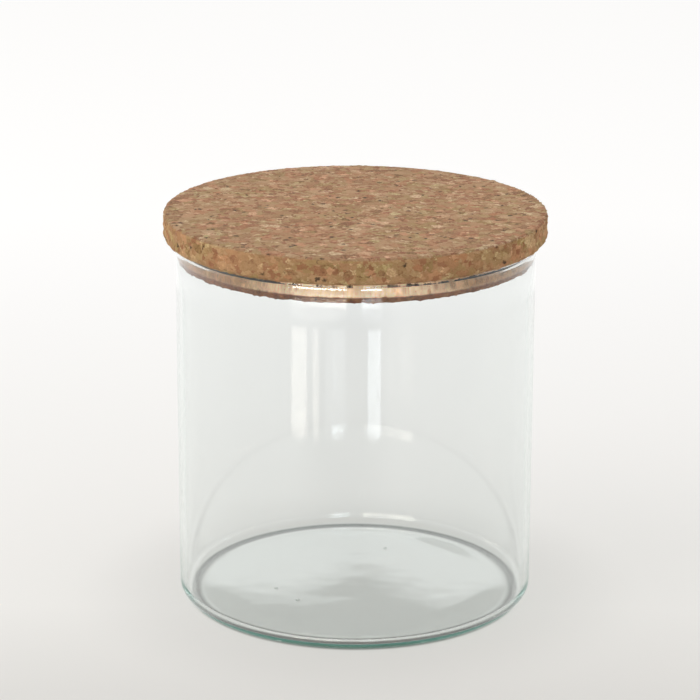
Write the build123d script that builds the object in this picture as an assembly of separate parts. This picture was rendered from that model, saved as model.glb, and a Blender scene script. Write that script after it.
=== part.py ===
# Glass storage jar with a flat cork lid, in millimetres, +Z up.
# The origin is the middle of the foot, on the surface that the jar stands on.
# Three pieces: one glass vessel, and a lid of two cork discs glued together.

import os

from build123d import *

# Glass vessel
body_diameter = 117.6  # outside of the straight wall
glass_height = 122.0  # table to the top of the lip
wall_thickness = 2.0
base_thickness = 2.0
heel_radius = 4.5  # outside rounding between the wall and the foot
inner_heel_radius = 3.5  # the same corner on the inside
foot_ring_width = 4.0  # flat ring that meets the table
push_up = 0.6  # how far the middle of the base is raised off the table

# Mouth of the vessel: a low bead round the lip, then a small ledge and a round rim
bead_flare = 0.4  # how far the bead stands out of the wall
bead_height = 2.4  # from its crisp lower edge up to its widest line
bead_band_height = 0.3  # upright band above the widest line
ledge_height = 0.8
ledge_width = 0.25
rim_collar_height = 0.125  # upright collar between the ledge and the round rim

# Cork disc, the wide upper half of the lid
lid_overhang = 3.6  # how far the disc reaches past the bead, all round
lid_thickness = 8.8
lid_top_rounding = 0.9
lid_bottom_rounding = 1.8

# Cork plug, the narrow lower half of the lid
plug_depth = 7.1
plug_rounding = 0.8

# Fits between the lid and the vessel
plug_clearance = 0.3  # all round, between the plug and the inside wall
seat_gap = 0.2  # between the lip and the underside of the disc

# Worked out from the sizes above
body_radius = body_diameter / 2
inner_radius = body_radius - wall_thickness
foot_outer_radius = body_radius - heel_radius
foot_inner_radius = foot_outer_radius - foot_ring_width
floor_radius = inner_radius - inner_heel_radius
lip_radius = body_radius + bead_flare
rim_outer_radius = lip_radius - ledge_width
rim_edge_radius = (rim_outer_radius - inner_radius) / 2
rim_z = glass_height - rim_edge_radius
ledge_top_z = rim_z - rim_collar_height
ledge_foot_z = ledge_top_z - ledge_height
lip_widest_z = ledge_foot_z - bead_band_height
bead_foot_z = lip_widest_z - bead_height
lid_radius = lip_radius + lid_overhang
lid_underside_z = glass_height + seat_gap
plug_radius = inner_radius - plug_clearance

upwards = (0, 1)
downwards = (0, -1)
outwards = (1, 0)


def s_curve(start, end):
    """Join two points with two equal arcs that are upright at both ends."""
    middle = ((start[0] + end[0]) / 2, (start[1] + end[1]) / 2)
    first = TangentArc(start, middle, tangent=upwards)
    TangentArc(middle, end, tangent=first % 1)


def foot_outline():
    """Underside, from the raised middle to the foot ring and round the heel."""
    TangentArc((0, push_up), (foot_inner_radius, 0), tangent=outwards)
    Line((foot_inner_radius, 0), (foot_outer_radius, 0))
    TangentArc((foot_outer_radius, 0), (body_radius, heel_radius), tangent=outwards)


def mouth_outline():
    """Outside of the wall and the bead, then over the rim to the inside."""
    bead_foot = (body_radius, bead_foot_z)
    bead_widest = (lip_radius, lip_widest_z)
    ledge_foot = (lip_radius, ledge_foot_z)
    ledge_top = (rim_outer_radius, ledge_top_z)
    rim_outside = (rim_outer_radius, rim_z)
    rim_top = (rim_outer_radius - rim_edge_radius, glass_height)
    rim_inside = (inner_radius, rim_z)
    Line((body_radius, heel_radius), bead_foot)
    TangentArc(bead_widest, bead_foot, tangent=downwards)
    Line(bead_widest, ledge_foot)
    s_curve(ledge_foot, ledge_top)
    Line(ledge_top, rim_outside)
    ThreePointArc(rim_outside, rim_top, rim_inside)


def inside_outline():
    """Inside wall, its rounded corner, and the floor back to the middle."""
    wall_foot = (inner_radius, base_thickness + inner_heel_radius)
    floor_edge = (floor_radius, base_thickness)
    floor_middle = (0, base_thickness + push_up)
    Line((inner_radius, rim_z), wall_foot)
    TangentArc(floor_edge, wall_foot, tangent=outwards)
    TangentArc(floor_middle, floor_edge, tangent=outwards)
    Line(floor_middle, (0, push_up))


def make_glass_jar():
    """The whole vessel is one piece of glass, turned about the Z axis."""
    with BuildPart() as vessel:
        with BuildSketch(Plane.XZ):
            with BuildLine():
                foot_outline()
                mouth_outline()
                inside_outline()
            make_face()
        revolve(axis=Axis.Z)
    return vessel.part


def make_cork_disc():
    """Wide disc that lies on the lip, with a rounded edge above and below."""
    with BuildPart() as disc:
        with Locations((0, 0, lid_underside_z)):
            Cylinder(
                lid_radius,
                lid_thickness,
                align=(Align.CENTER, Align.CENTER, Align.MIN),
            )
        fillet(disc.edges().group_by(Axis.Z)[-1], lid_top_rounding)
        fillet(disc.edges().group_by(Axis.Z)[0], lid_bottom_rounding)
    return disc.part


def make_cork_plug():
    """Narrow disc glued under the wide one, which fills the mouth."""
    with BuildPart() as plug:
        with Locations((0, 0, lid_underside_z)):
            Cylinder(
                plug_radius,
                plug_depth,
                align=(Align.CENTER, Align.CENTER, Align.MAX),
            )
        fillet(plug.edges().group_by(Axis.Z)[0], plug_rounding)
    return plug.part


nodes = {
    "glass_jar": make_glass_jar,
    "cork_disc": make_cork_disc,
    "cork_plug": make_cork_plug,
}

os.makedirs("parts", exist_ok=True)
for name, make in nodes.items():
    solid = make()
    export_step(solid, f"parts/{name}.step")
    print(name, "volume", round(solid.volume), "mm3")
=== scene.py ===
# %% [markdown]
# # A glass storage jar with a cork lid
# The real jar is three things: one vessel of clear, slightly green glass, and a lid made of a wide cork
# disc with a narrower cork plug glued under it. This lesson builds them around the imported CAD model, which
# gives every size and place. We start with that frame, and keep its box, because no piece that we make may
# reach outside it.

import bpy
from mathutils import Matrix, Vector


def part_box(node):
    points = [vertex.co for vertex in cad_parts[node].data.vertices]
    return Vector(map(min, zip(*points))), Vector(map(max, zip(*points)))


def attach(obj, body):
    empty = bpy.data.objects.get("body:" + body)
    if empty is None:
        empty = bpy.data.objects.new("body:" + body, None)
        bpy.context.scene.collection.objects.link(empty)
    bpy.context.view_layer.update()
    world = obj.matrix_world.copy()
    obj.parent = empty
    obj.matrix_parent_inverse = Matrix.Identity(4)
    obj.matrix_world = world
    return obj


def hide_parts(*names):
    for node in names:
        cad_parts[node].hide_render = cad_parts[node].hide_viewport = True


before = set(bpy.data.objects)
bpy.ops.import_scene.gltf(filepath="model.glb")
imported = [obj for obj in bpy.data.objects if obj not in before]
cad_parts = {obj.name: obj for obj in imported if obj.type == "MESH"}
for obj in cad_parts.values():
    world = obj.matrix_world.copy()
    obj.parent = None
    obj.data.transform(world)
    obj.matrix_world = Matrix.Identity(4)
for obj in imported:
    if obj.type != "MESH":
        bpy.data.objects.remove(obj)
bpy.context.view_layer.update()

# %% [markdown]
# ## Small helpers for node trees
# Materials and Geometry Nodes are both built from nodes and links. Writing each node in full takes four or
# five lines, so one helper makes a node, sets its options and fills its sockets, with a number or with
# another node's output.

# %% Node helpers
import math

import bmesh
import bpy
from mathutils import Matrix, Vector

mm = 0.001


def add_node(tree, kind, sockets=None, **options):
    """Add a node, set its options, and fill its input sockets with values or links."""
    made = tree.nodes.new(kind)
    for name, value in options.items():
        setattr(made, name, value)
    for name, value in (sockets or {}).items():
        if isinstance(value, bpy.types.NodeSocket):
            tree.links.new(value, made.inputs[name])
        else:
            made.inputs[name].default_value = value
    return made


def math_node(tree, operation, *values, clamp=False):
    """One step of arithmetic, whose result is an output socket."""
    sockets = dict(enumerate(values))
    return add_node(tree, "ShaderNodeMath", sockets, operation=operation, use_clamp=clamp).outputs[0]


def vector_node(tree, operation, *values):
    """One step of vector arithmetic, whose result is an output socket."""
    return add_node(tree, "ShaderNodeVectorMath", dict(enumerate(values)), operation=operation).outputs[0]


def ramp_node(tree, value, low, high, out_low=0.0, out_high=1.0, smooth=True):
    """Turn a value between low and high into one between out_low and out_high, and hold it beyond them."""
    sockets = {"Value": value, "From Min": low, "From Max": high, "To Min": out_low, "To Max": out_high}
    kind = "SMOOTHSTEP" if smooth else "LINEAR"
    return add_node(tree, "ShaderNodeMapRange", sockets, interpolation_type=kind).outputs["Result"]


def mix_colours(tree, share, first, second, blend="MIX"):
    """Blend two colours by a share from 0 to 1."""
    made = add_node(tree, "ShaderNodeMix", data_type="RGBA", blend_type=blend)
    for index, value in ((0, share), (6, first), (7, second)):
        if isinstance(value, bpy.types.NodeSocket):
            tree.links.new(value, made.inputs[index])
        else:
            made.inputs[index].default_value = value
    return made.outputs[2]


def mix_numbers(tree, share, first, second):
    """Blend two numbers by a share from 0 to 1."""
    return add_node(tree, "ShaderNodeMix", {"Factor": share, "A": first, "B": second}).outputs["Result"]


def tinted(tree, colour, filter_colour):
    """A colour seen through another one, channel by channel."""
    return mix_colours(tree, 1.0, colour, filter_colour, "MULTIPLY")


def scaled(tree, value, factor):
    """A vector or a colour times one number."""
    return add_node(tree, "ShaderNodeVectorMath", {0: value, "Scale": factor}, operation="SCALE").outputs[0]


def parts_of(tree, value):
    """The X, Y and Z of a vector, as output sockets."""
    return add_node(tree, "ShaderNodeSeparateXYZ", {"Vector": value}).outputs


def vector_of(tree, x=0.0, y=0.0, z=0.0):
    """One vector from three numbers."""
    return add_node(tree, "ShaderNodeCombineXYZ", {"X": x, "Y": y, "Z": z}).outputs[0]


def length_of(tree, value):
    """The length of a vector."""
    return add_node(tree, "ShaderNodeVectorMath", {0: value}, operation="LENGTH").outputs["Value"]


def grey_of(tree, tone):
    """A grey that is as bright as a number says."""
    return add_node(tree, "ShaderNodeCombineColor", {"Red": tone, "Green": tone, "Blue": tone}).outputs[0]


def seeded_noise(tree, place, seed, scale=5.0, detail=1.0):
    """Soft random lumps, which the seed moves through a fourth dimension."""
    sockets = {"Vector": place, "W": seed, "Scale": scale, "Detail": detail}
    return add_node(tree, "ShaderNodeTexNoise", sockets, noise_dimensions="4D").outputs


def empty_material(name):
    """A new material, and its node tree with nothing in it."""
    material = bpy.data.materials.new(name)
    material.use_nodes = True
    material.node_tree.nodes.clear()
    return material, material.node_tree


# %% [markdown]
# ## The camera
# The photograph was taken with a long lens from about 0.9 m away, looking 17 degrees down, so the wall's
# sides lean together only a little. A lens length is read against the sensor's width, 36 mm here.

# %% Camera
camera_place = Vector((0.0, -0.8979, 0.3581))
camera_down = math.radians(17.03)
camera_turn = 0.002
camera_roll = 0.003
camera_lens = 146.3
picture_side = 700

camera_data = bpy.data.cameras.new("camera")
camera_data.lens = camera_lens
camera = bpy.data.objects.new("camera", camera_data)
turn = Matrix.Rotation(camera_turn, 4, "Z") @ Matrix.Rotation(math.pi / 2 - camera_down, 4, "X")
camera.matrix_world = Matrix.Translation(camera_place) @ turn @ Matrix.Rotation(camera_roll, 4, "Z")
bpy.context.scene.collection.objects.link(camera)
bpy.context.scene.camera = camera
bpy.context.scene.view_settings.view_transform = "Standard"


def picture_ray(x, y):
    """Direction in which the camera looks through a pixel of the 700 by 700 picture."""
    half = picture_side / 2
    focus = camera_lens / camera_data.sensor_width * picture_side
    way = Vector(((x - half) / focus, (half - y) / focus, -1.0))
    return (camera.matrix_world.to_3x3() @ way).normalized()


def picture_point(x, y, height):
    """Where the line of sight through a pixel crosses a level plane."""
    ray = picture_ray(x, y)
    return camera_place + ray * ((height - camera_place.z) / ray.z)


low_middle_pixel = (350, 580)
low_middle = picture_point(*low_middle_pixel, 0.0)
print("line of sight meets the floor at, mm:", [round(1000 * v) for v in low_middle])

# %% [markdown]
# ## The floor
# A product like this is photographed on pale card. Less light reaches the card near the jar, so there it is
# light grey, and it brightens to white further back. We paint that falloff of light by place: the tone rises
# in steps from front to back, and a warm tint gives way to white over a wide ellipse. Seen directly, or
# through or in the glass, part of the tone is the card's own glow, so the soft shadow of the jar stays
# faint. A thin dark ring of painted shadow lies under the heel, where no light gets in, with a wide and
# faint one round it. Only in what the glass mirrors, the card in front of the jar is darkened by painted
# shade. The card is slightly glossy as well: in the front wall of the jar it mirrors the windows as tall
# pale streaks. Seen from above, its own gloss wouldn't show, so only mirrored rays meet it, and weakly if
# they have crossed the jar first.

# %% Floor sizes and tones
floor_side = 8.0
floor_drop = 0.05 * mm  # keeps the card just clear of the foot, so that the two never share a plane
# painted light: the card's tone rises in steps towards the back, a painted falloff of light
painted_light_steps = (  # from here to here, in metres behind the jar's axis, the card gets brighter by this much
    (-2.0, -1.9, 0.70),
    (-0.15, -0.09, 0.065),
    (-0.09, -0.02, 0.120),
    (-0.02, 0.15, 0.040),
    (0.15, 0.50, 0.115),
)
warm_card = (1.0, 0.99, 0.96, 1.0)
white_card = (1.0, 1.0, 1.0, 1.0)
warm_middle = (0.0, -0.12)  # the card is warm here, and turns white over this reach
warm_reach = (2.0, 0.50)
card_white = 0.9
glow_share = 0.45
# painted shade, seen only in the glass: the card in front of the jar that the glass mirrors is darkened here
dim_middle = (-0.03, -0.36)  # the part of the card that the glass mirrors is dimmest here
dim_reach = (0.16, 0.26)
dim_core = 0.45  # as a share of that reach
dim_tone = 0.25
# painted shadows: a thin dark ring under the heel and the foot ring, where no light gets in, and a faint
# wide ring round it
contact_radius = 55.0 * mm  # the card is darkest under the heel and the foot ring
contact_width = 2.0 * mm
contact_blur = 2.0 * mm
contact_tone = 0.28
shadow_inner = 60.0 * mm  # and a little darker in a wide ring, where the jar hides part of the room
shadow_outer = 100.0 * mm
shadow_tone = 0.925
shine_near = 0.07  # how strongly the card mirrors the windows, seen in the front wall
shine_far = 0.015  # and seen in the back wall, through the glass in front of it
shine_roughness = 0.03
front_faces = 2.5  # a mirrored ray that has crossed more faces of glass than this comes from the back wall

# %% Floor


def just_mirrored(tree, rays):
    """1 for a ray that glass or gloss has just mirrored, 0 for any other."""
    bounced = math_node(tree, "GREATER_THAN", rays["Glossy Depth"], 0.5)
    return math_node(tree, "MULTIPLY", bounced, rays["Is Glossy Ray"])


def ellipse_distance(tree, place, middle, reach):
    """How far a place is from the middle of an ellipse, where 1 is its edge."""
    across = math_node(tree, "DIVIDE", math_node(tree, "SUBTRACT", place["X"], middle[0]), reach[0])
    along = math_node(tree, "DIVIDE", math_node(tree, "SUBTRACT", place["Y"], middle[1]), reach[1])
    across_square = math_node(tree, "POWER", across, 2.0)
    along_square = math_node(tree, "POWER", along, 2.0)
    return math_node(tree, "SQRT", math_node(tree, "ADD", across_square, along_square))


def card_tone(tree, place, mirrored):
    """How bright the card is at a place: its painted steps of light, the painted shade that only mirrors
    see, and the painted shadows.
    """
    tone = 0.0
    for near, far, step in painted_light_steps:
        tone = math_node(tree, "ADD", tone, ramp_node(tree, place["Y"], near, far, 0.0, step, smooth=False))
    # painted shade that only mirrored rays see
    from_dim = ellipse_distance(tree, place, dim_middle, dim_reach)
    dim = ramp_node(tree, from_dim, dim_core, 1.0, dim_tone, 1.0)
    dim = math_node(tree, "MAXIMUM", dim, math_node(tree, "SUBTRACT", 1.0, mirrored))
    # painted shadows round the foot of the jar
    from_axis = ellipse_distance(tree, place, (0.0, 0.0), (1.0, 1.0))
    outside = ramp_node(tree, from_axis, contact_radius, contact_radius + contact_blur)
    ring_inner = contact_radius - contact_width
    inside = ramp_node(tree, from_axis, ring_inner - contact_blur, ring_inner, 1.0, 0.0)
    open_floor = math_node(tree, "MAXIMUM", outside, inside)
    contact = ramp_node(tree, open_floor, 0.0, 1.0, contact_tone, 1.0, smooth=False)
    shadow = ramp_node(tree, from_axis, shadow_inner, shadow_outer, shadow_tone, 1.0)
    for shade in (dim, contact, shadow):
        tone = math_node(tree, "MULTIPLY", tone, shade)
    return tone


def make_floor_material():
    material, tree = empty_material("pale_card")
    place = parts_of(tree, add_node(tree, "ShaderNodeTexCoord").outputs["Object"])
    light = add_node(tree, "ShaderNodeLightPath").outputs
    mirrored = just_mirrored(tree, light)
    from_warm = ellipse_distance(tree, place, warm_middle, warm_reach)
    tint = mix_colours(tree, from_warm, warm_card, white_card)
    colour = scaled(tree, tint, card_tone(tree, place, mirrored))
    plain = add_node(tree, "ShaderNodeBsdfDiffuse", {"Color": scaled(tree, colour, card_white)})
    shaded = add_node(tree, "ShaderNodeBsdfDiffuse", {"Color": scaled(tree, colour, 1.0 - glow_share)})
    glow = add_node(tree, "ShaderNodeEmission", {"Color": colour, "Strength": glow_share})
    seen = add_node(tree, "ShaderNodeAddShader", {0: shaded.outputs[0], 1: glow.outputs[0]})
    from_back = math_node(tree, "GREATER_THAN", light["Transmission Depth"], front_faces)
    shine = ramp_node(tree, from_back, 0.0, 1.0, shine_near, shine_far, smooth=False)
    shine = grey_of(tree, math_node(tree, "MULTIPLY", mirrored, shine))
    gloss = add_node(tree, "ShaderNodeBsdfGlossy", {"Color": shine, "Roughness": shine_roughness})
    seen = add_node(tree, "ShaderNodeAddShader", {0: seen.outputs[0], 1: gloss.outputs[0]})
    looks = math_node(tree, "MAXIMUM", light["Is Camera Ray"], light["Is Glossy Ray"])
    looks = math_node(tree, "MAXIMUM", looks, light["Is Transmission Ray"])
    either = add_node(tree, "ShaderNodeMixShader", {0: looks, 1: plain.outputs[0], 2: seen.outputs[0]})
    add_node(tree, "ShaderNodeOutputMaterial", {"Surface": either.outputs[0]})
    return material


bpy.ops.mesh.primitive_plane_add(size=floor_side, location=(0, 0, -floor_drop))
floor = bpy.context.object
floor.name = "floor"
floor.data.materials.append(make_floor_material())
print("floor side, m:", floor_side, "material:", floor.data.materials[0].name)

# %% [markdown]
# ## The light
# The room is lit by windows in front of the jar, to the left and a little to the right, and by its pale
# walls. The world stands for the walls: an even light that grows towards the ceiling, and white behind the
# jar. What the glass mirrors is bright low down, where the card and the wall are, and dim above. The upper
# halves of the windows are two bright patches in the world, which only the front of the jar mirrors. Their
# lower halves are lamps, and in the strip between the halves there is one lamp for each pane, so that each
# pane leaves its own streak. None of these shines on the cork. One more lamp, soft and from the left, does,
# and no mirror shows it.

# %% Room and windows
room_low = 0.50
room_high = 1.00
room_colour = (1.0, 0.985, 0.965, 1.0)
mirror_low = 1.15
mirror_high = 0.22
mirror_edge = math.sin(math.radians(21.7))  # the mirrored room is bright below this angle, dim above
mirror_blur = 0.006
warm_light = (1.0, 0.93, 0.83)
cool_light = (0.88, 0.95, 1.0)
left_sides = (-42, -6)  # where each window starts and ends, in degrees to the right of the camera's side
right_sides = (4, 17)
upper_rises = (30, 45)  # how high the upper halves of the windows stand, in degrees
upper_strength = 60.0
rise_blur = 1.0  # how soft the edges of a window are, in degrees
side_blur = 0.5


def between_node(tree, value, ends, blur):
    """1 where an angle in radians lies between two angles in degrees, 0 outside them."""
    low, high = ends
    start = ramp_node(tree, value, math.radians(low - blur), math.radians(low + blur))
    stop = ramp_node(tree, value, math.radians(high - blur), math.radians(high + blur), 1.0, 0.0)
    return math_node(tree, "MULTIPLY", start, stop)


def upper_windows(tree, way, rays):
    """The upper halves of both windows, which only the front of the jar mirrors."""
    turn = math_node(tree, "ARCTAN2", way["X"], math_node(tree, "MULTIPLY", way["Y"], -1.0))
    upper = between_node(tree, math_node(tree, "ARCSINE", way["Z"]), upper_rises, rise_blur)
    light = (0.0, 0.0, 0.0, 1.0)
    for sides, colour in ((left_sides, warm_light), (right_sides, cool_light)):
        window = math_node(tree, "MULTIPLY", upper, between_node(tree, turn, sides, side_blur))
        light = mix_colours(tree, window, light, (*colour, 1.0))
    by_front = math_node(tree, "LESS_THAN", rays["Transmission Depth"], front_faces)
    return scaled(tree, light, math_node(tree, "MULTIPLY", by_front, upper_strength))


# %% World


def make_world():
    world = bpy.data.worlds.new("room")
    world.use_nodes = True
    tree = world.node_tree
    tree.nodes.clear()
    rays = add_node(tree, "ShaderNodeLightPath").outputs
    way = parts_of(tree, add_node(tree, "ShaderNodeTexCoord").outputs["Generated"])

    def background(colour, strength=1.0):
        return add_node(tree, "ShaderNodeBackground", {"Color": colour, "Strength": strength}).outputs[0]

    even = background(room_colour, ramp_node(tree, way["Z"], 0.0, 1.0, room_low, room_high, smooth=False))
    white = background((1.0, 1.0, 1.0, 1.0))
    above = ramp_node(tree, way["Z"], mirror_edge - mirror_blur, mirror_edge + mirror_blur)
    dim_room = grey_of(tree, ramp_node(tree, above, 0.0, 1.0, mirror_low, mirror_high, smooth=False))
    mirror = background(vector_node(tree, "ADD", dim_room, upper_windows(tree, way, rays)))
    seen = math_node(tree, "MAXIMUM", rays["Is Camera Ray"], rays["Is Transmission Ray"])
    lit = add_node(tree, "ShaderNodeMixShader", {0: seen, 1: even, 2: white}).outputs[0]
    mirrored = just_mirrored(tree, rays)
    in_glass = add_node(tree, "ShaderNodeMixShader", {0: mirrored, 1: lit, 2: mirror}).outputs[0]
    add_node(tree, "ShaderNodeOutputWorld", {"Surface": in_glass})
    return world


bpy.context.scene.world = make_world()
print("the world has", len(bpy.context.scene.world.node_tree.nodes), "nodes")

# %% Windows and lamps


def add_lamp(name, azimuths, rises, distance, strength, colour, in_mirrors=True):
    """A rectangular light that faces the jar, between two azimuths and two heights in degrees.

    Azimuth 0 is the camera's side, and plus is to its right. Strength 1 is as bright as white card.
    """
    wide, high = (math.radians(b - a) for a, b in (azimuths, rises))
    azimuth, rise = (math.radians((a + b) / 2) for a, b in (azimuths, rises))
    way = Vector((math.sin(azimuth) * math.cos(rise), -math.cos(azimuth) * math.cos(rise), math.sin(rise)))
    data = bpy.data.lights.new(name, "AREA")
    data.shape = "RECTANGLE"
    data.size = 2 * distance * math.tan(wide / 2) * math.cos(rise)
    data.size_y = 2 * distance * math.tan(high / 2)
    data.color = colour
    data.energy = strength * math.pi * data.size * data.size_y
    lamp = bpy.data.objects.new(name, data)
    lamp.location = way * distance
    lamp.rotation_euler = way.to_track_quat("Z", "Y").to_euler()
    lamp.visible_glossy = lamp.visible_transmission = in_mirrors
    bpy.context.scene.collection.objects.link(lamp)
    return lamp


window_distance = 5.0
low_rises = (4, 12)  # the lower halves of the windows
pane_rises = (15.2, 17.8)  # a strip across them, cut by the bars between the panes
clear_light = (0.95, 0.97, 1.0)
for name, sides, rises, strength, colour in (
    ("low_left", left_sides, low_rises, 14.0, warm_light),
    ("low_right", right_sides, low_rises, 16.0, cool_light),
    ("pane_1", (-41, -31), pane_rises, 30.0, warm_light),
    ("pane_2", (-27, -23), pane_rises, 18.0, warm_light),
    ("pane_3", (-19, -6), pane_rises, 6.0, clear_light),
    ("pane_4", (8, 16), pane_rises, 30.0, cool_light),
):
    lamp = add_lamp(name, sides, rises, window_distance, strength, colour)
    lamp.visible_diffuse = False
soft_light = (1.0, 0.97, 0.93)
add_lamp("soft_left", (-95, -45), (20, 60), distance=1.5, strength=1.6, colour=soft_light, in_mirrors=False)

# %% [markdown]
# ## A lathe in Geometry Nodes
# Vessel, disc and plug are all round about one axis, so one tree makes all three, as a potter's lathe
# would. It takes half of the piece's outline, a chain of points, and turns a grid into rings: the grid's
# columns go round, its rows follow the outline. Because every point of the grid passes through the same few
# nodes, waves and lumps of handmade glass are added there too.

# %% Outline helpers
weld_distance = 0.001 * mm  # points that are closer than this count as one


def arc(middle, radius, start, end, steps):
    """Points (radius from the axis, height) on a circle, from one angle in degrees to another."""
    turns = [math.radians(start + (end - start) * i / steps) for i in range(steps + 1)]
    return [(middle[0] + radius * math.cos(t), middle[1] + radius * math.sin(t)) for t in turns]


def straight(start, end, steps):
    """Points on a straight run."""
    return [tuple(a + (b - a) * i / steps for a, b in zip(start, end)) for i in range(steps + 1)]


def s_curve(start, end, steps):
    """Points on a curve that is upright at both ends."""
    chain = []
    for share in (i / steps for i in range(steps + 1)):
        eased = (3 - 2 * share) * share * share
        chain.append((start[0] + (end[0] - start[0]) * eased, start[1] + (end[1] - start[1]) * share))
    return chain


def bowed(start, end, steps):
    """Points from the axis outwards, on a shallow dome that is level but for its rim."""
    shares = [i / steps for i in range(steps + 1)]
    return [(start[0] + (end[0] - start[0]) * s, start[1] + (end[1] - start[1]) * s**8) for s in shares]


def join_runs(*runs):
    """One chain from several runs of points, without the doubled points where they meet."""
    chain = [runs[0][0]]
    for point in [p for run in runs for p in run]:
        if math.dist(point, chain[-1]) > weld_distance:
            chain.append(point)
    return chain


# %% Starting and ending a tree


def name_sockets(tree, way, **kinds):
    """Give a node tree its named inputs or outputs, kind by kind."""
    for kind, names in kinds.items():
        for name in names:
            tree.interface.new_socket(name, in_out=way, socket_type="NodeSocket" + kind)


def end_tree(tree, geometry, material):
    """Make instances real, give everything its material, and put it out as the tree's mesh."""
    real = add_node(tree, "GeometryNodeRealizeInstances", {"Geometry": geometry}).outputs[0]
    painted = add_node(tree, "GeometryNodeSetMaterial", {"Geometry": real, "Material": material}).outputs[0]
    add_node(tree, "NodeGroupOutput", {"Mesh": painted})


# %% Waves in the wall and hills in the base
wave_grain = (45.0, 45.0, 7.0)  # far finer across than up, so the waves stand upright in the wall
wave_fade = 12 * mm
lump_grain = (22.0, 22.0, 200.0)
level_share = 0.8  # the base gets level again between this share of its radius and its edge
between_faces = (1.4 * mm, 1.6 * mm)  # heights between the lower and the upper face of the base
upper_twist = 0.064  # how fast the slope of the upper face changes from left to right
plain_share = 0.66  # outside the hill the base slopes the other way, by this share of the hill's slope
dip_share = 0.75  # and in the dips to both sides by this much more
right_dip = (18 * mm, 36 * mm)
left_dip = (-50 * mm, -38 * mm)


def wall_waves(tree, given, here, height, outwards):
    """A push in or out for each point of the wall, which fades at the heel and under the bead."""
    noise = seeded_noise(tree, vector_node(tree, "MULTIPLY", here, wave_grain), given["Seed"])[0]
    wave = math_node(tree, "MULTIPLY", math_node(tree, "SUBTRACT", noise, 0.5), given["Wave height"])
    foot, top = given["Wave foot"], given["Wave top"]
    up = ramp_node(tree, height, foot, math_node(tree, "ADD", foot, wave_fade))
    down = ramp_node(tree, height, math_node(tree, "SUBTRACT", top, wave_fade), top, 1.0, 0.0)
    wave = math_node(tree, "MULTIPLY", math_node(tree, "MULTIPLY", wave, up), down)
    return scaled(tree, outwards, wave)


def base_hills(tree, given, here, now, reach):
    """A lift for each point of the base: small lumps, and a slope to the back that varies across it."""
    noise = seeded_noise(tree, vector_node(tree, "MULTIPLY", here, lump_grain), given["Seed"])[0]
    lump = math_node(tree, "MULTIPLY", math_node(tree, "SUBTRACT", noise, 0.5), given["Floor lump height"])
    offset = math_node(tree, "SUBTRACT", now["X"], given["Hill middle"])
    offset = math_node(tree, "DIVIDE", offset, given["Hill width"])
    bell = math_node(tree, "MULTIPLY", math_node(tree, "MULTIPLY", offset, offset), -1.0)
    bell = math_node(tree, "EXPONENT", bell)
    hill_slope = given["Hill slope"]
    plain_slope = math_node(tree, "MULTIPLY", hill_slope, -plain_share)
    slope = math_node(tree, "ADD", math_node(tree, "MULTIPLY", bell, hill_slope), plain_slope)
    twist = math_node(tree, "MULTIPLY", now["X"], -upper_twist)
    twist = math_node(tree, "MULTIPLY", twist, ramp_node(tree, now["Z"], *between_faces))
    slope = math_node(tree, "ADD", slope, twist)
    on_right = ramp_node(tree, now["X"], *right_dip)
    on_left = ramp_node(tree, now["X"], *left_dip, 1.0, 0.0)
    dips = math_node(tree, "MULTIPLY", math_node(tree, "ADD", on_right, on_left), hill_slope)
    slope = math_node(tree, "SUBTRACT", slope, math_node(tree, "MULTIPLY", dips, dip_share))
    lump = math_node(tree, "ADD", lump, math_node(tree, "MULTIPLY", slope, now["Y"]))
    edge_start = math_node(tree, "MULTIPLY", given["Floor radius"], level_share)
    edge = ramp_node(tree, reach, edge_start, given["Floor radius"], 1.0, 0.0)
    return vector_of(tree, z=math_node(tree, "MULTIPLY", lump, edge))


# %% Lathe tree


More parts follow.
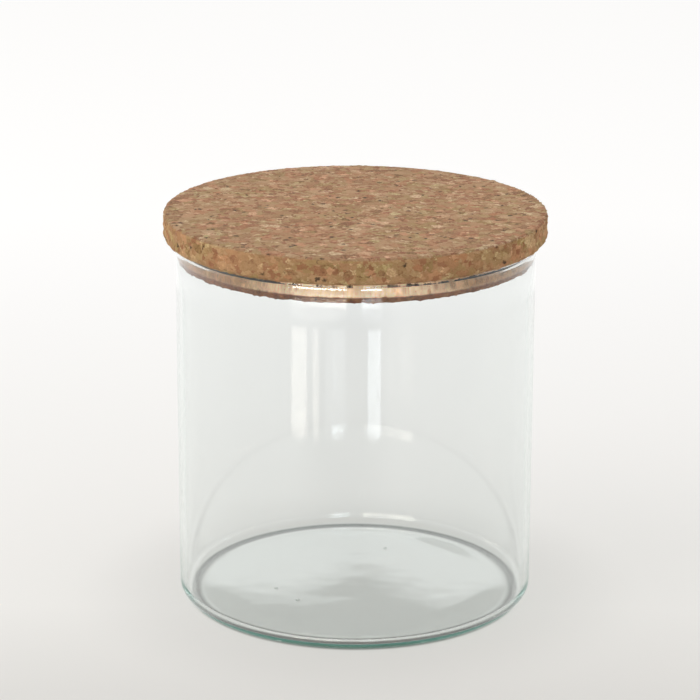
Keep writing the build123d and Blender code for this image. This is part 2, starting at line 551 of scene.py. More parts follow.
def make_lathe_tree():
    tree = bpy.data.node_groups.new("lathe", "GeometryNodeTree")
    sizes = ("Wave height", "Floor lump height", "Floor radius", "Hill slope", "Hill middle", "Hill width")
    name_sockets(
        tree, "INPUT", Geometry=["Outline"], Int=["Columns"],
        Float=[*sizes, "Wave foot", "Wave top", "Seed"], Material=["Material"],
    )
    name_sockets(tree, "OUTPUT", Geometry=["Mesh"])
    given = add_node(tree, "NodeGroupInput").outputs
    outline = given["Outline"]
    rows = add_node(tree, "GeometryNodeAttributeDomainSize", {"Geometry": outline}).outputs["Point Count"]
    grid_columns = math_node(tree, "ADD", given["Columns"], 1.0)
    grid = add_node(tree, "GeometryNodeMeshGrid", {"Vertices X": grid_columns, "Vertices Y": rows})
    index = add_node(tree, "GeometryNodeInputIndex").outputs[0]
    row = math_node(tree, "MODULO", index, rows)
    column = math_node(tree, "FLOOR", math_node(tree, "DIVIDE", math_node(tree, "ADD", index, 0.5), rows))
    here = add_node(tree, "GeometryNodeInputPosition").outputs[0]
    outline_point = add_node(
        tree, "GeometryNodeSampleIndex", {"Geometry": outline, "Value": here, "Index": row},
        data_type="FLOAT_VECTOR", domain="POINT",
    ).outputs["Value"]
    part = parts_of(tree, outline_point)
    angle = math_node(tree, "MULTIPLY", math_node(tree, "DIVIDE", column, given["Columns"]), math.tau)
    x = math_node(tree, "MULTIPLY", part["X"], math_node(tree, "COSINE", angle))
    y = math_node(tree, "MULTIPLY", part["X"], math_node(tree, "SINE", angle))
    turned = add_node(tree, "GeometryNodeSetPosition", {
        "Geometry": grid.outputs["Mesh"], "Position": vector_of(tree, x, y, part["Z"]),
    }).outputs[0]

    now = parts_of(tree, here)
    level = vector_of(tree, now["X"], now["Y"])
    push = wall_waves(tree, given, here, now["Z"], vector_node(tree, "NORMALIZE", level))
    lift = base_hills(tree, given, here, now, length_of(tree, level))
    uneven = add_node(tree, "GeometryNodeSetPosition", {
        "Geometry": turned, "Offset": vector_node(tree, "ADD", push, lift),
    }).outputs[0]
    closed = add_node(tree, "GeometryNodeMergeByDistance", {"Geometry": uneven, "Distance": weld_distance})
    smooth = add_node(tree, "GeometryNodeSetShadeSmooth", {"Geometry": closed.outputs[0]})
    end_tree(tree, smooth.outputs[0], given["Material"])
    return tree


lathe_tree = make_lathe_tree()
print("the lathe tree has", len(lathe_tree.nodes), "nodes")

# %% Running a tree


def run_tree(holder, tree, settings):
    """Give an object a Geometry Nodes modifier, with its inputs set by their identifiers."""
    modifier = holder.modifiers.new(tree.name, "NODES")
    modifier.node_group = tree
    names = {s.name: s.identifier for s in tree.interface.items_tree if s.in_out == "INPUT"}
    for name, value in settings.items():
        modifier[names[name]] = value
    return modifier


def plain_mesh(holder, name):
    """Turn an object with modifiers into an object with one plain mesh, and remove the first."""
    bpy.context.view_layer.update()
    evaluated = holder.evaluated_get(bpy.context.evaluated_depsgraph_get())
    mesh = bpy.data.meshes.new_from_object(evaluated)
    bpy.data.objects.remove(holder)
    mesh.name = name
    made = bpy.data.objects.new(name, mesh)
    bpy.context.scene.collection.objects.link(made)
    return made


def outline_holder(name, chain):
    """A mesh of loose points joined in a line, in the XZ plane, for the lathe to read."""
    mesh = bpy.data.meshes.new(name)
    mesh.from_pydata([(r, 0.0, z) for r, z in chain], [(i, i + 1) for i in range(len(chain) - 1)], [])
    holder = bpy.data.objects.new(name, mesh)
    bpy.context.scene.collection.objects.link(holder)
    return holder


def face_outwards(mesh):
    """Turn all faces of one closed shell outwards, by the sign of its volume."""
    shell = bmesh.new()
    shell.from_mesh(mesh)
    if shell.calc_volume(signed=True) < 0:
        bmesh.ops.reverse_faces(shell, faces=shell.faces)
    volume = shell.calc_volume(signed=True)
    open_edges = sum(1 for e in shell.edges if len(e.link_faces) != 2)
    shell.to_mesh(mesh)
    shell.free()
    faces = len(mesh.polygons)
    print(mesh.name, "volume mm3:", round(volume / mm**3), "faces:", faces, "open edges:", open_edges)


# %% [markdown]
# ## Glass
# Clear glass bends light (Transmission with an index of refraction), and its slight green comes from iron,
# which takes a little red out of the light on every millimetre, so it belongs in the volume and not on the
# surface: thin walls stay clear while the thick base edge turns teal. Glass rays can't find a lamp by
# themselves, so shadow and diffuse rays pass straight through a faintly tinted Transparent shader. Light
# that is caught in the heel bounces many times before it gets out, more often than Cycles follows it, and
# would end black. After four bounces a deep teal glow takes over from it, at full strength up to two thirds
# of the jar's height and nearly gone at the lip.

# %% Glass material
glass_green = (0.14, 0.57, 0.40, 1.0)
glass_green_density = 10.0
glass_index = 1.5
glass_grey = (0.95, 0.955, 0.955, 1.0)  # a trace of dust on both faces takes a little light
glass_shade = (0.96, 0.975, 0.97, 1.0)  # what the glass leaves of the light that falls through it
edge_green = (0.035, 0.11, 0.09, 1.0)  # what is left of light that is trapped in the glass
trapped_bounces = 3.5  # light that is mirrored more often than this counts as trapped
trapped_heights = (80 * mm, 100 * mm)  # its glow fades between these, to a small share
trapped_least = 0.1


def make_glass_material():
    material, tree = empty_material("green_clear_glass")
    light = add_node(tree, "ShaderNodeLightPath").outputs
    height = parts_of(tree, add_node(tree, "ShaderNodeTexCoord").outputs["Object"])["Z"]
    trapped = math_node(tree, "GREATER_THAN", light["Glossy Depth"], trapped_bounces)
    low_down = ramp_node(tree, height, *trapped_heights, 1.0, trapped_least)
    trapped = math_node(tree, "MULTIPLY", trapped, low_down)
    edge_glow = mix_colours(tree, trapped, (0.0, 0.0, 0.0, 1.0), edge_green)
    glass = add_node(tree, "ShaderNodeBsdfPrincipled", {
        "Base Color": glass_grey, "Roughness": 0.0, "IOR": glass_index, "Transmission Weight": 1.0,
        "Emission Color": edge_glow, "Emission Strength": 1.0,
    })
    through = add_node(tree, "ShaderNodeBsdfTransparent", {"Color": glass_shade})
    passes = math_node(tree, "MAXIMUM", light["Is Shadow Ray"], light["Is Diffuse Ray"])
    either = add_node(tree, "ShaderNodeMixShader", {0: passes, 1: glass.outputs[0], 2: through.outputs[0]})
    green_sockets = {"Color": glass_green, "Density": glass_green_density}
    green = add_node(tree, "ShaderNodeVolumeAbsorption", green_sockets)
    outputs = {"Surface": either.outputs[0], "Volume": green.outputs[0]}
    add_node(tree, "ShaderNodeOutputMaterial", outputs)
    return material


glass_material = make_glass_material()
print("glass material:", glass_material.name)

# %% [markdown]
# ## The glass vessel
# The outline runs from the middle of the underside over the foot ring and heel, up the wall to a low bead,
# over a small ledge and the round rim, then down the inside to the middle of the floor. The bead is what
# makes the mouth look alive: its face leans out, by up to 19 degrees at its lower edge, so it mirrors the
# upper halves of the windows by way of the card, while the straight wall under it can't. The floor is not
# quite level either. A real base sags a little where it was hot longest, and a slope of a third of a degree
# is enough to turn the straight edge of a dark reflection into hills.

# %% Glass sizes
glass_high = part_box("glass_jar")[1]
wall_thickness = 2.0 * mm
base_thickness = 2.0 * mm
heel_radius = 4.5 * mm
inner_heel_radius = 3.5 * mm
foot_ring_width = 4.0 * mm
crown = 0.25 * mm  # how far the middle of the base is raised
bead_flare = 0.4 * mm  # how far the bead stands out of the wall
bead_height = 2.4 * mm  # from its crisp lower edge up to its widest line
bead_band_height = 0.3 * mm
ledge_height = 0.8 * mm
ledge_width = 0.25 * mm
rim_collar_height = 0.125 * mm

lip_radius = glass_high.x
body_radius = lip_radius - bead_flare
inner_radius = body_radius - wall_thickness
foot_outer = body_radius - heel_radius
foot_inner = foot_outer - foot_ring_width
floor_radius = inner_radius - inner_heel_radius
rim_outer = lip_radius - ledge_width
rim_radius = (rim_outer - inner_radius) / 2
rim_z = glass_high.z - rim_radius
ledge_top_z = rim_z - rim_collar_height
ledge_foot_z = ledge_top_z - ledge_height
lip_widest_z = ledge_foot_z - bead_band_height
bead_foot_z = lip_widest_z - bead_height
bead_radius = (bead_flare**2 + bead_height**2) / (2 * bead_flare)
bead_turn = math.degrees(math.asin(bead_height / bead_radius))
print("bead radius and rim radius, mm:", round(bead_radius / mm, 2), round(rim_radius / mm, 2))

# %% Glass vessel
glass_columns = 480
wave_height = 0.015 * mm
wave_stop = 2 * mm  # the waves end this far under the bead
lump_height = 0.02 * mm
hill_slope = 0.0060
hill_middle = 1.9 * mm
hill_width = 17.3 * mm

glass_outline = join_runs(
    bowed((0.0, crown), (foot_inner, 0.0), 40),
    straight((foot_inner, 0.0), (foot_outer, 0.0), 3),
    arc((foot_outer, heel_radius), heel_radius, -90, 0, 26),
    straight((body_radius, heel_radius), (body_radius, bead_foot_z), 10),
    arc((lip_radius - bead_radius, lip_widest_z), bead_radius, -bead_turn, 0, 24),
    s_curve((lip_radius, ledge_foot_z), (rim_outer, ledge_top_z), 14),
    straight((rim_outer, ledge_top_z), (rim_outer, rim_z), 2),
    arc((inner_radius + rim_radius, rim_z), rim_radius, 0, 180, 36),
    straight((inner_radius, rim_z), (inner_radius, base_thickness + inner_heel_radius), 10),
    arc((floor_radius, base_thickness + inner_heel_radius), inner_heel_radius, 0, -90, 22),
    list(reversed(bowed((0.0, base_thickness + crown), (floor_radius, base_thickness), 40))),
)
glass_holder = outline_holder("glass_outline", glass_outline)
run_tree(glass_holder, lathe_tree, {
    "Columns": glass_columns, "Seed": 3.0, "Material": glass_material,
    "Wave height": wave_height, "Wave foot": heel_radius, "Wave top": bead_foot_z - wave_stop,
    "Floor lump height": lump_height, "Floor radius": foot_inner,
    "Hill slope": hill_slope, "Hill middle": hill_middle, "Hill width": hill_width,
})
glass = plain_mesh(glass_holder, "glass_vessel")
face_outwards(glass.data)

# %% [markdown]
# Three seeds, the small air bubbles of cheap glass, sit in the base. A bubble is a hollow in the glass, so
# it is a tiny ball whose faces look inwards, placed on the lines of sight through the pixels where the
# photo shows them.

# %% Seeds
seed_pixels = ((276, 589), (298, 601), (385, 549))
seed_radius = 0.75 * mm
seed_height = crown + base_thickness / 2
shell = bmesh.new()
shell.from_mesh(glass.data)
for pixel in seed_pixels:
    where = Matrix.Translation(picture_point(*pixel, seed_height))
    seed = bmesh.ops.create_icosphere(shell, subdivisions=3, radius=seed_radius, matrix=where)
    walls = {face for corner in seed["verts"] for face in corner.link_faces}
    bmesh.ops.reverse_faces(shell, faces=list(walls))
    for wall in walls:
        wall.smooth = True
shell.to_mesh(glass.data)
shell.free()
print("seeds at height, mm:", round(seed_height / mm, 2))

# %% [markdown]
# ## The shape of cork
# The lid is granulated cork: crumbs of bark, 1 to 4 mm across, pressed with glue into a sheet, then sawn
# round and sanded. Its flat faces are smooth, but crumbs break out along the saw cut. A smooth disc with a
# bump map would keep a clean outline, so the raggedness is real here. Crumbs are scattered over the sawn
# edge, a voxel remesh melts them and the disc into one skin, and a second tree pushes that skin in and out,
# grain by grain.

# %% Crumb tree
crumb_rim = (0.6 * mm, 1.5 * mm)  # crumbs thin out between these distances from the sawn edge
smallest_crumb = (0.35, 0.35, 0.25)
largest_crumb = (1.0, 1.0, 0.7)


def random_vector(tree, low, high, seed):
    """A random vector for each crumb, between two others."""
    sockets = {"Min": low, "Max": high, "Seed": seed}
    return add_node(tree, "FunctionNodeRandomValue", sockets, data_type="FLOAT_VECTOR").outputs["Value"]


def make_crumb_tree():
    tree = bpy.data.node_groups.new("loose_crumbs", "GeometryNodeTree")
    sizes = ("Crumb size", "Per square metre", "Rim radius")
    name_sockets(tree, "INPUT", Geometry=["Mesh"], Float=sizes, Int=["Seed"], Material=["Material"])
    name_sockets(tree, "OUTPUT", Geometry=["Mesh"])
    given = add_node(tree, "NodeGroupInput").outputs
    part = parts_of(tree, add_node(tree, "GeometryNodeInputPosition").outputs[0])
    reach = length_of(tree, vector_of(tree, part["X"], part["Y"]))
    from_rim = math_node(tree, "SUBTRACT", given["Rim radius"], reach)
    near_rim = ramp_node(tree, from_rim, *crumb_rim, 1.0, 0.0)
    density = math_node(tree, "MULTIPLY", given["Per square metre"], near_rim)
    spots = add_node(tree, "GeometryNodeDistributePointsOnFaces", {
        "Mesh": given["Mesh"], "Density": density, "Seed": given["Seed"],
    }).outputs["Points"]
    ball_sockets = {"Radius": given["Crumb size"], "Subdivisions": 1}
    ball = add_node(tree, "GeometryNodeMeshIcoSphere", ball_sockets).outputs[0]
    size = random_vector(tree, smallest_crumb, largest_crumb, given["Seed"])
    turn = random_vector(tree, (0.0, 0.0, 0.0), (math.tau, math.tau, math.tau), given["Seed"])
    crumbs = add_node(tree, "GeometryNodeInstanceOnPoints", {
        "Points": spots, "Instance": ball, "Rotation": turn, "Scale": size,
    })
    joined = add_node(tree, "GeometryNodeJoinGeometry")
    tree.links.new(given["Mesh"], joined.inputs[0])
    tree.links.new(crumbs.outputs[0], joined.inputs[0])
    end_tree(tree, joined.outputs[0], given["Material"])
    return tree


crumb_tree = make_crumb_tree()
print("the crumb tree has", len(crumb_tree.nodes), "nodes")

# %% Crumble tree
warp_scale = 1.7  # the borders of the grains wander by noise of this size and strength
warp_strength = 0.7
fine_scale = 2.6
bump_middle = 1.15
flat_faces = (0.80, 0.98)  # a normal that is this upright belongs to a flat face of the cork
pit_slope = (0.15, 0.6)
face_pit_loss = 0.75  # pits are this much shallower on the sanded faces
least_reach = 0.1 * mm  # keeps a division safe at the axis


def grain_height(tree, given, here, normal):
    """How far the skin moves out at a place: grain by grain, with pits where a grain was torn out."""
    grains = scaled(tree, here, math_node(tree, "DIVIDE", 1.0, given["Grain size"]))
    warp = seeded_noise(tree, grains, given["Seed"], warp_scale)["Color"]
    grains = vector_node(tree, "ADD", grains, scaled(tree, warp, warp_strength))
    cell_sockets = {"Vector": grains, "W": given["Seed"], "Scale": 1.0}
    cell = add_node(tree, "ShaderNodeTexVoronoi", cell_sockets, voronoi_dimensions="4D").outputs
    chance = parts_of(tree, cell["Color"])
    fine = seeded_noise(tree, grains, given["Seed"], fine_scale, 2.0)[0]

    upright = math_node(tree, "ABSOLUTE", parts_of(tree, normal)["Z"])
    on_face = ramp_node(tree, upright, *flat_faces)
    relief = mix_numbers(tree, on_face, given["Edge relief"], given["Face relief"])
    bump = math_node(tree, "SUBTRACT", math_node(tree, "ADD", chance["X"], fine), bump_middle)
    bump = math_node(tree, "MULTIPLY", bump, relief)
    torn = math_node(tree, "LESS_THAN", chance["Y"], given["Pit share"])
    round_pit = ramp_node(tree, cell["Distance"], *pit_slope, 1.0, 0.0)
    pit = math_node(tree, "MULTIPLY", math_node(tree, "MULTIPLY", torn, round_pit), given["Pit depth"])
    kept_depth = math_node(tree, "SUBTRACT", 1.0, math_node(tree, "MULTIPLY", on_face, face_pit_loss))
    return math_node(tree, "SUBTRACT", bump, math_node(tree, "MULTIPLY", pit, kept_depth))


def make_crumble_tree():
    tree = bpy.data.node_groups.new("crumbled_skin", "GeometryNodeTree")
    sizes = ("Grain size", "Face relief", "Edge relief", "Pit depth", "Pit share", "Shift X")
    limits = ("Most radius", "Low Z", "High Z", "Seed")
    name_sockets(tree, "INPUT", Geometry=["Mesh"], Float=sizes + limits, Material=["Material"])
    name_sockets(tree, "OUTPUT", Geometry=["Mesh"])
    given = add_node(tree, "NodeGroupInput").outputs
    here = add_node(tree, "GeometryNodeInputPosition").outputs[0]
    normal = add_node(tree, "GeometryNodeInputNormal").outputs[0]
    push = scaled(tree, normal, grain_height(tree, given, here, normal))
    push = vector_node(tree, "ADD", push, vector_of(tree, given["Shift X"]))
    moved = add_node(tree, "GeometryNodeSetPosition", {"Geometry": given["Mesh"], "Offset": push})

    part = parts_of(tree, here)
    reach = length_of(tree, vector_of(tree, part["X"], part["Y"]))
    reach = math_node(tree, "MAXIMUM", reach, least_reach)
    shrink = math_node(tree, "MINIMUM", math_node(tree, "DIVIDE", given["Most radius"], reach), 1.0)
    z = math_node(tree, "MINIMUM", math_node(tree, "MAXIMUM", part["Z"], given["Low Z"]), given["High Z"])
    x = math_node(tree, "MULTIPLY", part["X"], shrink)
    y = math_node(tree, "MULTIPLY", part["Y"], shrink)
    inside = vector_of(tree, x, y, z)
    kept = add_node(tree, "GeometryNodeSetPosition", {"Geometry": moved.outputs[0], "Position": inside})
    smooth = add_node(tree, "GeometryNodeSetShadeSmooth", {"Geometry": kept.outputs[0]})
    end_tree(tree, smooth.outputs[0], given["Material"])
    return tree


crumble_tree = make_crumble_tree()
print("the crumble tree has", len(crumble_tree.nodes), "nodes")

# %% [markdown]
# ## The look of cork
# Up close the sheet is a mosaic: most crumbs are tan, a few are cream, rusty or nearly black bark, and the
# glue lines between them are a little darker. Two Voronoi patterns, one for big and one for small crumbs,
# give each crumb its own random tone, and noise frays their borders. Both cork pieces use this, so it is
# one group with its own inputs.

# %% Cork colours


def tone_ramp(tree, value, stops):
    """A colour ramp from a list of (place, colour)."""
    ramp = add_node(tree, "ShaderNodeValToRGB", {"Fac": value})
    marks = ramp.color_ramp.elements
    marks[0].position, marks[0].color = stops[0][0], (*stops[0][1], 1.0)
    marks[1].position, marks[1].color = stops[-1][0], (*stops[-1][1], 1.0)
    for place, colour in stops[1:-1]:
        mark = marks.new(place)
        mark.color = (*colour, 1.0)
    return ramp.outputs["Color"]


crumb_tones = (
    (0.00, (0.16, 0.085, 0.045)),
    (0.07, (0.27, 0.145, 0.085)),
    (0.25, (0.34, 0.205, 0.120)),
    (0.60, (0.40, 0.255, 0.155)),
    (0.86, (0.45, 0.310, 0.200)),
    (1.00, (0.62, 0.490, 0.350)),
)
crumb_hues = (
    (0.00, (0.88, 0.96, 0.74)),
    (0.40, (0.99, 1.00, 0.92)),
    (0.70, (1.02, 0.97, 0.90)),
    (1.00, (1.10, 0.89, 0.82)),
)
bark_black = (0.075, 0.045, 0.028, 1.0)
rust_red = (0.26, 0.105, 0.060, 1.0)
glue_brown = (0.20, 0.10, 0.05, 1.0)
big_stretch = (1.0, 1.0, 1.3)  # pressing leaves the crumbs a little flatter than wide
small_stretch = (1.0, 1.0, 1.2)
small_seed_step = 7.3
fray_scale = 2.2
fray_strength = 1.2
big_share = 0.45  # of the crumbs, this share is big
grit_scale = 2.4
grit_strength = 1.1
rust_strength = 0.7
glue_width = 0.10  # widths are shares of a crumb
speck_width = 0.30
dome_width = 0.25
dome_height = 0.3
bark_depth = 0.8

# %% Cork pattern group


def mosaic(tree, given, size, stretch, seed_step):
    """Random cells of one size: where they are, their random values, and the distance to their borders."""
    place = vector_node(tree, "MULTIPLY", given["Vector"], stretch)
    place = scaled(tree, place, math_node(tree, "DIVIDE", 1.0, given[size]))
    seed = math_node(tree, "ADD", given["Seed"], seed_step)
    fray = seeded_noise(tree, place, seed, fray_scale, 3.0)["Color"]
    fray = scaled(tree, vector_node(tree, "SUBTRACT", fray, (0.5, 0.5, 0.5)), fray_strength)
    place = vector_node(tree, "ADD", place, fray)
    place = vector_node(tree, "ADD", place, vector_of(tree, seed, seed, seed))
    sockets = {"Vector": place, "Scale": 1.0}
    cell = add_node(tree, "ShaderNodeTexVoronoi", sockets).outputs
    border = add_node(tree, "ShaderNodeTexVoronoi", sockets, feature="DISTANCE_TO_EDGE")
    return place, parts_of(tree, cell["Color"]), border.outputs["Distance"]


def make_cork_group():
    tree = bpy.data.node_groups.new("cork_mosaic", "ShaderNodeTree")
    numbers = ("Big crumb", "Small crumb", "Contrast", "Glue lines", "Rust", "Bark", "Seed")
    name_sockets(tree, "INPUT", Vector=["Vector"], Float=numbers, Color=["Tint"])
    name_sockets(tree, "OUTPUT", Color=["Color"], Float=["Height"])
    given = add_node(tree, "NodeGroupInput").outputs
    _, big, big_border = mosaic(tree, given, "Big crumb", big_stretch, 0.0)
    small_place, small, small_border = mosaic(tree, given, "Small crumb", small_stretch, small_seed_step)
    is_big = math_node(tree, "LESS_THAN", big["Y"], big_share)
    chance = mix_numbers(tree, is_big, small["X"], big["X"])
    border = mix_numbers(tree, is_big, small_border, big_border)
    grit_sockets = {"Vector": small_place, "Scale": grit_scale, "Detail": 3.0}
    grit = add_node(tree, "ShaderNodeTexNoise", grit_sockets).outputs[0]
    rough = math_node(tree, "MULTIPLY", math_node(tree, "SUBTRACT", grit, 0.5), grit_strength)
    value = math_node(tree, "SUBTRACT", math_node(tree, "ADD", chance, rough), 0.5)
    value = math_node(tree, "ADD", math_node(tree, "MULTIPLY", value, given["Contrast"]), 0.5, clamp=True)
    colour = tinted(tree, tone_ramp(tree, value, crumb_tones), tone_ramp(tree, big["Z"], crumb_hues))

    glue = ramp_node(tree, border, 0.0, glue_width, 1.0, 0.0)
    glue = math_node(tree, "MULTIPLY", glue, given["Glue lines"])
    colour = mix_colours(tree, glue, colour, glue_brown)
    rust = math_node(tree, "LESS_THAN", small["Y"], given["Rust"])
    colour = mix_colours(tree, math_node(tree, "MULTIPLY", rust, rust_strength), colour, rust_red)
    bark = math_node(tree, "LESS_THAN", small["Z"], given["Bark"])
    bark = math_node(tree, "MULTIPLY", bark, ramp_node(tree, small_border, 0.0, speck_width))
    colour = mix_colours(tree, bark, colour, bark_black)
    colour = tinted(tree, colour, given["Tint"])

    dome = ramp_node(tree, border, 0.0, dome_width)
    height = math_node(tree, "ADD", math_node(tree, "MULTIPLY", dome, dome_height), grit)
    height = math_node(tree, "SUBTRACT", height, math_node(tree, "MULTIPLY", bark, bark_depth))
    add_node(tree, "NodeGroupOutput", {"Color": colour, "Height": height})
    return tree


cork_group = make_cork_group()
print("the cork group has", len(cork_group.nodes), "nodes")

# %% Cork disc material
cork_roughness = 0.85
cork_specular = 0.3
bump_strength = 0.6
bump_distance = 0.25 * mm
disc_edge_depths = (0.9 * mm, 0.35 * mm)  # under the top, between which the side's look gives way to it


def place_cork(tree, values):
    """The mosaic group, set into a material on Object coordinates, with its own values."""
    made = add_node(tree, "ShaderNodeGroup")
    made.node_tree = cork_group
    place = add_node(tree, "ShaderNodeTexCoord").outputs["Object"]
    tree.links.new(place, made.inputs["Vector"])
    for name, value in values.items():
        made.inputs[name].default_value = value
    return made.outputs, place


def finish_cork(tree, colour, height):
    """The dull surface that every cork piece ends in."""
    bump_sockets = {"Height": height, "Strength": bump_strength, "Distance": bump_distance}
    bump = add_node(tree, "ShaderNodeBump", bump_sockets).outputs[0]
    surface = add_node(tree, "ShaderNodeBsdfPrincipled", {
        "Base Color": colour, "Normal": bump, "Roughness": cork_roughness,
        "Specular IOR Level": cork_specular,
    })
    add_node(tree, "ShaderNodeOutputMaterial", {"Surface": surface.outputs[0]})


def make_disc_material(top_z):
    material, tree = empty_material("granulated_cork_disc")
    top, place = place_cork(tree, {
        "Big crumb": 3.3 * mm, "Small crumb": 1.5 * mm, "Contrast": 0.90, "Glue lines": 0.25, "Rust": 0.09,
        "Bark": 0.030, "Seed": 2.0, "Tint": (1.0, 1.0, 1.0, 1.0),
    })
    # painted light: the sawn side is tinted lighter than the top, so it looks as bright as the top though
    # less light falls on it; its larger crumbs and softer contrast are the cork's own
    side, place = place_cork(tree, {
        "Big crumb": 3.6 * mm, "Small crumb": 1.7 * mm, "Contrast": 0.80, "Glue lines": 0.25, "Rust": 0.10,
        "Bark": 0.03, "Seed": 5.0, "Tint": (1.20, 1.13, 0.95, 1.0),
    })
    height = parts_of(tree, place)["Z"]
    on_top = ramp_node(tree, height, *(top_z - depth for depth in disc_edge_depths))
    colour = mix_colours(tree, on_top, side["Color"], top["Color"])
    finish_cork(tree, colour, mix_numbers(tree, on_top, side["Height"], top["Height"]))
    return material


disc_low, disc_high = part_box("cork_disc")
disc_cork = make_disc_material(disc_high.z)
print("disc material:", disc_cork.name)

# %% [markdown]
# The plug is seen through the glass, in the disc's shadow. Its upper part is a pale, streaked band: painted
# light that stands for the light which comes in through the wall and which the bead of the glass bends onto
# it. Its lower part is a deep brown, painted shade where less of that light falls. Right under the disc runs
# a dark line, a painted shadow of the narrow gap over the rim. The line gets wider towards the plug's sides.
# All of it is painted by height and by place, so it stays with the cork when the lid is lifted.

# %% Cork plug material
# painted light: above these depths the plug is the pale band, below them the painted shade of deep brown
band_depths = (5.0 * mm, 4.4 * mm)  # under the disc, between which the brown gives way to the pale band
# painted shadow of the gap over the rim: the dark line under the disc
gap_shadow_depths = (2.0 * mm, 1.7 * mm)  # and the pale band to the dark line, at the plug's front
gap_shadow_side_drop = 1.7 * mm  # the dark line starts this much lower at the sides
drop_run = 32.5 * mm  # distance behind the plug's front over which it drops
rear_blur = (-10.0 * mm, 10.0 * mm)  # the drop and the darkness end here, halfway to the back
light_run = (0.5 * mm, 14.5 * mm)  # distances behind the front over which the band loses the light
gap_shadow_run = 8.5 * mm
streak_stretch = (1.0, 1.0, 0.12)
streak_sockets = {"Scale": 2200.0, "Detail": 3.0, "Roughness": 0.7}
streak_tones = (0.30, 0.62, 0.72, 1.08)
pale_gain = (2.9, 2.8, 2.7, 1.0)
pale_cream = (0.97, 0.82, 0.62, 1.0)
cream_share = 0.55
# painted light: the band is lit brightest at the front and darker towards the sides
front_light = (1.80, 1.86, 1.95, 1.0)
side_light = (0.66, 0.52, 0.40, 1.0)
# painted shade: the plug under the pale band is darkened to a deep brown
painted_shade_brown = (0.80, 0.50, 0.28, 1.0)
# painted shadow of the gap over the rim, brown at the front and nearly black at the sides
gap_shadow_front = (0.10, 0.055, 0.03, 1.0)
gap_shadow_side = (0.006, 0.007, 0.005, 1.0)


def painted_light_band(tree, colour, place, forward, front_y):
    """Painted light between the brown zone and the dark line: a pale band of cork with upright streaks,
    brightest at the front.
    """
    fine_place = vector_node(tree, "MULTIPLY", place, streak_stretch)
    streak = add_node(tree, "ShaderNodeTexNoise", {"Vector": fine_place, **streak_sockets}).outputs[0]
    streak = ramp_node(tree, streak, *streak_tones)
    pale = mix_colours(tree, cream_share, tinted(tree, colour, pale_gain), pale_cream)
    pale = tinted(tree, pale, grey_of(tree, streak))
    to_side = ramp_node(tree, forward, *(front_y + run for run in light_run))
    return tinted(tree, pale, mix_colours(tree, to_side, front_light, side_light))


def make_plug_material(top_z, front_y):
    material, tree = empty_material("granulated_cork_plug")
    side, place = place_cork(tree, {
        "Big crumb": 3.0 * mm, "Small crumb": 1.4 * mm, "Contrast": 0.85, "Glue lines": 0.5, "Rust": 0.10,
        "Bark": 0.03, "Seed": 9.0, "Tint": (1.0, 0.92, 0.80, 1.0),
    })
    spot = parts_of(tree, place)
    height, forward = spot["Z"], spot["Y"]
    pale = painted_light_band(tree, side["Color"], place, forward, front_y)
    deep = tinted(tree, side["Color"], painted_shade_brown)
    # painted light on the band above, painted shade of deep brown below
    on_band = ramp_node(tree, height, *(top_z - depth for depth in band_depths))
    colour = mix_colours(tree, on_band, deep, pale)
    # painted shadow of the gap over the rim: it reaches lower towards the sides and ends at the back
    drop = ramp_node(tree, forward, front_y, front_y + drop_run, 0.0, gap_shadow_side_drop, smooth=False)
    drop = math_node(tree, "MULTIPLY", drop, ramp_node(tree, forward, *rear_blur, 1.0, 0.0))
    raised = math_node(tree, "ADD", height, drop)
    below_gap_shadow = ramp_node(tree, raised, *(top_z - depth for depth in gap_shadow_depths), 1.0, 0.0)
    sideways = ramp_node(tree, forward, front_y, front_y + gap_shadow_run)
    dark = mix_colours(tree, sideways, gap_shadow_front, gap_shadow_side)
    dark = mix_colours(tree, ramp_node(tree, forward, *rear_blur), dark, deep)
    finish_cork(tree, mix_colours(tree, below_gap_shadow, dark, colour), side["Height"])
    return material


plug_low, plug_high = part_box("cork_plug")
plug_cork = make_plug_material(plug_high.z, -plug_high.x)
print("plug material:", plug_cork.name)

# %% [markdown]
# ## The lid
# The disc overhangs the glass all round, and the plug under it fills the mouth. Both start a little smaller
# than their CAD solids, so that loose crumbs still fit inside those, and the tree holds every point inside
# them.

# %% Cork pieces
crumb_room = 0.45 * mm  # kept free round the smooth start shape for crumbs
skin_voxel = 0.6 * mm
face_relief = 0.05 * mm
cork_columns = 256
edge_steps = 6


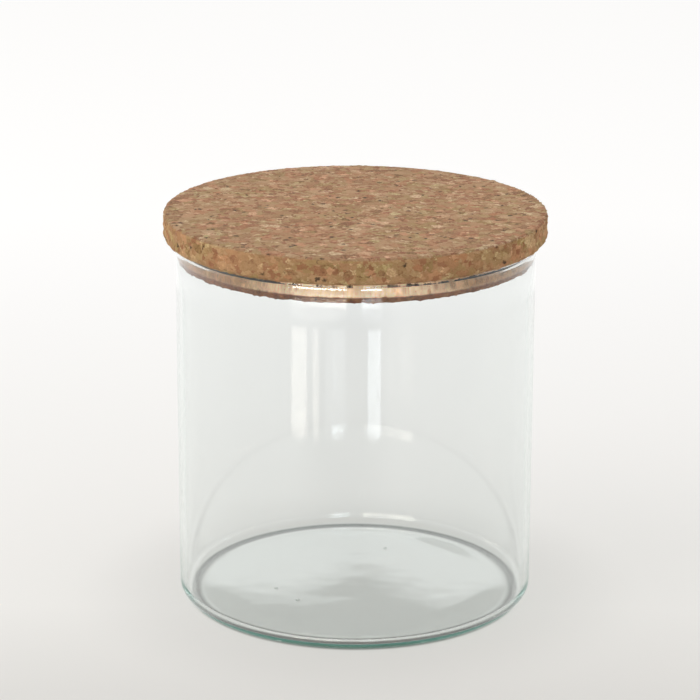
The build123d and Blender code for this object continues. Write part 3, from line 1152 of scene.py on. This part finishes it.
def make_cork_piece(name, low, high, top_edge, bottom_edge, material, shift_x, settings):
    """Turn a disc, scatter crumbs on its edge, melt both into one skin and crumble that."""
    rim = high.x - crumb_room
    outline = join_runs(
        [(0.0, low.z)],
        arc((rim - bottom_edge, low.z + bottom_edge), bottom_edge, -90, 0, edge_steps),
        straight((rim, low.z + bottom_edge), (rim, high.z - top_edge), edge_steps),
        arc((rim - top_edge, high.z - top_edge), top_edge, 0, 90, edge_steps),
        [(0.0, high.z)],
    )
    holder = outline_holder(name + "_outline", outline)
    run_tree(holder, lathe_tree, {"Columns": cork_columns, "Material": material})
    run_tree(holder, crumb_tree, {
        "Crumb size": settings["crumb"], "Per square metre": settings["crumbs"], "Rim radius": rim,
        "Seed": settings["seed"], "Material": material,
    })
    skin = holder.modifiers.new("skin", "REMESH")
    skin.mode = "VOXEL"
    skin.voxel_size = skin_voxel
    run_tree(holder, crumble_tree, {
        "Grain size": settings["grain"], "Face relief": face_relief, "Edge relief": settings["relief"],
        "Pit depth": settings["pit"], "Pit share": settings["pits"], "Shift X": shift_x,
        "Most radius": high.x, "Low Z": low.z - settings.get("room", 0.0), "High Z": high.z,
        "Seed": float(settings["seed"]), "Material": material,
    })
    made = plain_mesh(holder, name)
    face_outwards(made.data)
    return made


disc_edges = (0.9 * mm, 1.9 * mm)  # roundings above and below
disc_shift = -0.2 * mm  # the disc sits a little to the left
disc = make_cork_piece("cork_disc_granules", disc_low, disc_high, *disc_edges, disc_cork, disc_shift, {
    "crumb": 0.7 * mm, "crumbs": 260000.0, "grain": 2.2 * mm, "relief": 0.34 * mm, "pit": 0.8 * mm,
    "pits": 0.10, "seed": 4,
})
plug_edges = (0.0, 0.5 * mm)
plug_room = Vector((0.0, 0.0, 0.4 * mm))  # left under the plug for its crumbs
plug = make_cork_piece("cork_plug_granules", plug_low + plug_room, plug_high, *plug_edges, plug_cork, 0.0, {
    "crumb": 0.8 * mm, "crumbs": 330000.0, "grain": 1.6 * mm, "relief": 0.75 * mm, "pit": 1.3 * mm,
    "pits": 0.30, "room": 0.4 * mm, "seed": 8,
})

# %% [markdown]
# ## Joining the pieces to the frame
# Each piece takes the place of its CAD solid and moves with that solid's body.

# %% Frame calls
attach(glass, "jar")
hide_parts("glass_jar")
for piece, node in ((disc, "cork_disc"), (plug, "cork_plug")):
    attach(piece, "lid")
    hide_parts(node)
